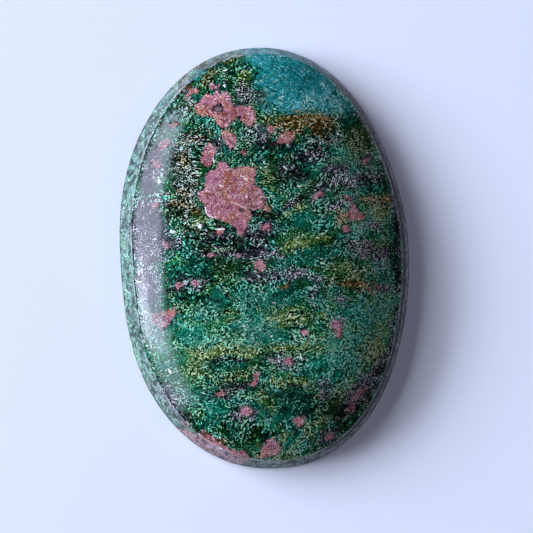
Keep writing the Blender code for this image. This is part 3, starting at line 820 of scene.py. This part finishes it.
rusty = flakes_of(
    tone, (0.001, 0.001, 0.000), (0.012, 0.006, 0.001), (0.042, 0.021, 0.002), (0.132, 0.066, 0.007),
    (0.224, 0.123, 0.020), (0.368, 0.256, 0.076), (0.621, 0.555, 0.301))
pepper = flakes_of(
    tone, (0.001, 0.001, 0.000), (0.002, 0.005, 0.001), (0.011, 0.018, 0.006), (0.050, 0.060, 0.027),
    (0.103, 0.111, 0.062), (0.203, 0.213, 0.175), (0.525, 0.514, 0.495))
hue = noise(band_place, 0.70, 2.0, 0.6) + (flake_blue - 0.5) * 0.10
other_hue = noise(moved(band_place, 0.5, 4.0), 0.9, 2.0, 0.6) + (flake_green - 0.5) * 0.10
third_hue = noise(moved(band_place, 0.4, -5.0), 1.0, 2.0, 0.6) + (flake_green - 0.5) * 0.10
rock = blend(hue.ramp(0.45, 0.53), grass, emerald)
rock = blend(other_hue.ramp(0.54, 0.62) * 0.60, rock, sage)
rock = blend(third_hue.ramp(0.58, 0.66) * 0.70, rock, olive)
rock = blend(in_emerald * 0.9, rock, emerald)
rock = blend(share_of("olive", 1.2, 0.5) * 0.85, rock, olive)
rock = blend(in_teal * (1 - third_hue.ramp(0.52, 0.60) * 0.45), rock, teal)
rock = blend(even_and_glare_fade * 0.35, rock, sage)
rock = blend(in_plum * 0.9, rock, mauve)
rock = blend(share_of("pepper", 1.4, 0.5) * 0.75, rock, pepper)
rock = blend(in_rust * 0.95, rock, rusty)
rock = blend(in_seam * 0.7, rock, mauve)
rock = blend(in_vein * 0.9, rock, olive)

# Ruby, in blocky grains parted by stained cracks, with a splinter here and there along a crack painted bright
# as a highlight
ruby_place = moved(place, 1.6, 0.9)
block = cells(ruby_place, RUBY_BLOCKS_PER_MM).beside("Color").parts("ShaderNodeSeparateColor")
small_block = cells(ruby_place, RUBY_CHIPS_PER_MM).beside("Color").parts("ShaderNodeSeparateColor")
to_crack = cells(ruby_place, RUBY_BLOCKS_PER_MM, "DISTANCE_TO_EDGE")
to_chip = cells(ruby_place, RUBY_CHIPS_PER_MM, "DISTANCE_TO_EDGE")
cracked = coarse.ramp(0.42, 0.54)
crack = (1 - to_crack.ramp(0.02, 0.08)) * cracked
splinter = (1 - abs(to_crack - 0.12).ramp(0.01, 0.05)) * cracked
splinter = splinter * cloud.ramp(0.48, 0.58)
drawn_crack = (mark("crack") + (grain - 0.5) * 0.30).ramp(-0.02, 0.05) * cloud.ramp(0.40, 0.56)
chip = (1 - to_chip.ramp(0.03, 0.12)) * cloud.ramp(0.47, 0.54)
chip_edge = (1 - abs(to_chip - 0.20).ramp(0.02, 0.09)) * cloud.ramp(0.48, 0.54)
tone = texture * 0.34 + (block - 0.5) * 0.24 + (small_block - 0.5) * 0.20 + (cloud - 0.5) * 0.34
# Painted shade from the dark marks darkens the ruby too, and on the left shoulder the painted glare fade of
# the even marks dims it
tone = tone + RUBY_TONE - even_and_glare_fade * 0.16 - in_dark_and_shade * 0.13
pink = flakes_of(
    tone, (0.063, 0.014, 0.019), (0.187, 0.057, 0.067), (0.276, 0.094, 0.112), (0.375, 0.142, 0.172),
    (0.458, 0.197, 0.229), (0.624, 0.348, 0.382), (0.836, 0.665, 0.634))
magenta = flakes_of(
    tone, (0.050, 0.009, 0.019), (0.130, 0.031, 0.053), (0.200, 0.058, 0.092), (0.290, 0.104, 0.151),
    (0.370, 0.159, 0.211), (0.560, 0.318, 0.375), (0.800, 0.635, 0.646))
stained = flakes_of(
    tone, (0.062, 0.016, 0.005), (0.196, 0.061, 0.023), (0.309, 0.106, 0.046), (0.422, 0.166, 0.081),
    (0.505, 0.240, 0.132), (0.659, 0.405, 0.273), (0.863, 0.692, 0.535))
near_crack = (1 - to_crack.ramp(0.03, 0.22)) * cracked
ruby_colour = blend(share_of("plum", 0.4, 0.2) * 0.55 + other_hue.ramp(0.44, 0.56) * 0.50, pink, magenta)
ruby_colour = blend(near_crack * 0.45, ruby_colour, stained)
ruby_colour = blend(coarse.ramp(0.48, 0.60) * 0.35, ruby_colour, stained)
ruby_colour = blend(share_of("rust", 0.5, 0.25) * 0.85, ruby_colour, stained)
ruby_colour = blend(chip * 0.85, ruby_colour, CHIP_SHADOW)
ruby_colour = blend(chip_edge * 0.65, ruby_colour, CHIP_LIGHT)
ruby_colour = blend((mark("crack") + (cloud - 0.5) * 0.30).ramp(-0.30, 0.0) * 0.55, ruby_colour, stained)
ruby_colour = blend(crack * 0.65, ruby_colour, CRACK_DARK)
ruby_colour = blend(drawn_crack * 0.65, ruby_colour, CRACK_RUST)
ruby_colour = blend(splinter * 0.55, ruby_colour, SPLINTER_HIGHLIGHT)
ruby_depth = mark("ruby") + (flake_green - 0.5) * 0.26 + (coarse - 0.5) * 0.25
ruby_depth = ruby_depth + (cloud - 0.5) * (0.35 + in_dark_and_shade * 0.9)
in_ruby = ruby_depth.ramp(-0.04, 0.05)
rim = ruby_depth.ramp(-0.24, -0.06) - in_ruby
rim = rim.maths("MAXIMUM", 0, rim)
# On the left shoulder the painted glare fade of the even marks takes away the dark rims and dims the rubies
colour = blend(rim * (0.4 + grain.ramp(0.62, 0.40) * 0.6) * (1 - even_and_glare_fade), rock, RIM_BLACK)
colour = blend(in_ruby * (1 - even_and_glare_fade * 0.35), colour, ruby_colour)

# Clear quartz and the splinters painted white as glints, and pits where grains came out
quartz = (mark("quartz") + (flake_green - 0.5) * 0.14 + (grain - 0.5) * 0.3).ramp(0.00, 0.08)
flash = (mark("splinter") + (grain - 0.5) * 0.14).ramp(-0.03, 0.03)
quartz = quartz.maths("MAXIMUM", quartz, flash)
colour = blend(quartz * 0.9, colour, GLINT_WHITE)
pit_depth = mark("pit") + (flake_red - 0.5) * 0.12
colour = blend(pit_depth.ramp(-0.06, 0.04) * 0.85, colour, PIT_SIDE)
colour = blend(pit_depth.ramp(0.08, 0.18) * 0.8, colour, PIT_FLOOR)

# Grinding without a polish leaves the wall a little paler, with light and dark streaks; the paler tint is
# partly a painted sheen
across = place.parts()
along, height = across.beside(1), across.beside(2)
ground_and_sheen = blend(across.ramp(-8, 6), GROUND_SHEEN_LEFT, GROUND_SHEEN_RIGHT)
colour = blend(on_wall * (0.18 - in_teal * 0.17), colour, ground_and_sheen)
streak = place.node("ShaderNodeMapping", {}, {"Vector": place, "Scale": (0.9, 0.9, 1.1)})
streak = noise(streak, 1.5, 3.0, 0.7, 0.6)
scuff = streak.beside("Color")
upper_right = across.ramp(3, 9) * along.ramp(-2, 3)
veined = across.ramp(-2, 8) * 0.36 + 0.34 - in_teal * 0.30 - upper_right * 0.40
# Painted shade darkens the upper right of the wall, which faces away from the lamps
colour = blend(on_wall * upper_right * (1 - in_teal) * 0.75, colour, WALL_SHADE)
colour = blend(on_wall * streak.ramp(0.53, 0.59) * veined, colour, ground_and_sheen)
colour = blend(on_wall * streak.ramp(0.48, 0.43) * 0.80, colour, STREAK_DARK)

# On the right the wall is painted dark with shade under the shoulder, and is paler towards its foot
right_side = across.ramp(2, 8)
right_wall = on_wall * right_side
colour = blend(right_wall * height.ramp(1.1, 1.9) * 0.90, colour, WALL_SHADE)
pale_foot = height.ramp(1.7, 0.7) * (0.30 + streak.ramp(0.47, 0.55) * 0.45)
pale_foot = pale_foot * (0.4 + along.ramp(15, 11) * along.ramp(-8, -1) * 0.6)
colour = blend(right_wall * pale_foot, colour, FOOT_PALE)
# A painted contact shadow darkens the foot of the wall, taller on the right
foot = (mark("foot") + right_side * 0.22 + (cloud - 0.5) * 0.6).ramp(-0.1, 0.3)
colour = blend(foot * 0.75, colour, FOOT_SHADOW)
worn = (mark("shoulder") + (grain - 0.5) * 0.25).ramp(0.0, 0.06) * broad.ramp(0.44, 0.52)
colour = blend(worn * (0.50 - in_teal * 0.35 - right_side * 0.20), colour, WORN_GREY)

# Each flake lies tilted a little its own way, so that some catch the window and some don't
normal = place.node("ShaderNodeNewGeometry", {}, {}, "Normal")
tilt = flake.vectors("SUBTRACT", flake, MIDDLE).scaled(FLAKE_TILT - in_ruby * 0.02)
scuff = scuff.vectors("SUBTRACT", scuff, MIDDLE).scaled(on_wall * SCUFF_TILT)
leaning = normal.vectors("ADD", normal, tilt)
leaning = leaning.vectors("ADD", leaning, scuff)
leaning = leaning.vectors("NORMALIZE", leaning)

roughness = (0.5 - texture).span(0.25, 1.0, *POLISH_ROUGHNESS) + on_wall * GROUND_ROUGHNESS
for name, wire in (("Base Color", colour), ("Roughness", roughness), ("Normal", leaning)):
    paint.links.new(wire.socket, surface.inputs[name])
surface.inputs["IOR"].default_value = STONE_IOR
surface.inputs["Specular IOR Level"].default_value = STONE_GLOSS

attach(stone, "root")
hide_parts("cabochon")


# The stage
# A sheet of white card beside a window low on the left, under a dark ceiling. Reflections show the window
# itself, a low and a high patch of sky shed its light, and a pale wall on the right fills the shadow.

FLOOR_SIZE = 6.0
# The card lies a hair under the flat back, so that the two don't lie in one plane
FLOOR_GAP = 0.00001
FLOOR_COLOUR = (0.80, 0.85, 0.86, 1)
CARD_ROUGHNESS = 0.85
DAYLIGHT = (0.90, 0.95, 1.25)
WALL_LIGHT = (0.95, 0.92, 1.30)
ROOM_DARKNESS = (0.022, 0.022, 0.027, 1)

bpy.ops.mesh.primitive_plane_add(size=FLOOR_SIZE, location=(0, 0, low_corner.z - FLOOR_GAP))
floor = bpy.context.object
floor.name = "floor"
card = bpy.data.materials.new("white card")
card.use_nodes = True
card.node_tree.nodes["Principled BSDF"].inputs["Base Color"].default_value = FLOOR_COLOUR
card.node_tree.nodes["Principled BSDF"].inputs["Roughness"].default_value = CARD_ROUGHNESS
floor.data.materials.append(card)


def panel(name, azimuth, elevation, distance, size, power, colour):
    """A soft light that faces the stone, at an azimuth from +X towards +Y and an elevation, in degrees."""
    azimuth, elevation = math.radians(azimuth), math.radians(elevation)
    light = bpy.data.lights.new(name, "AREA")
    light.shape = "RECTANGLE"
    light.size, light.size_y = size
    light.energy = power
    light.color = colour
    lamp = bpy.data.objects.new(name, light)
    away = Vector((math.cos(azimuth) * math.cos(elevation), math.sin(azimuth) * math.cos(elevation),
                   math.sin(elevation)))
    lamp.location = away * distance
    lamp.rotation_euler = away.to_track_quat("Z", "Y").to_euler()
    bpy.context.scene.collection.objects.link(lamp)
    return lamp


window = panel("window", 164, 27.6, 0.9, (0.96, 0.365), 10.2, DAYLIGHT)
window.visible_diffuse = False
corner = panel("window corner", 205, 29.5, 0.9, (0.46, 0.32), 2.10, DAYLIGHT)
corner.visible_diffuse = False
panel("window glare", 184, 20.0, 0.88, (0.18, 0.135), 0.95, DAYLIGHT)
low_sky = panel("low sky", 160, 20, 1.0, (0.95, 0.26), 15.2, DAYLIGHT)
low_sky.visible_glossy = False
high_sky = panel("high sky", 160, 31, 1.0, (0.95, 0.42), 7.6, DAYLIGHT)
high_sky.visible_glossy = False
fill = panel("fill", -15, 52, 1.5, (1.5, 1.5), 4.0, WALL_LIGHT)
fill.visible_glossy = False

world = bpy.data.worlds.new("dim room")
world.use_nodes = True
world.node_tree.nodes["Background"].inputs["Color"].default_value = ROOM_DARKNESS
bpy.context.scene.world = world
bpy.context.scene.view_settings.view_transform = "Standard"
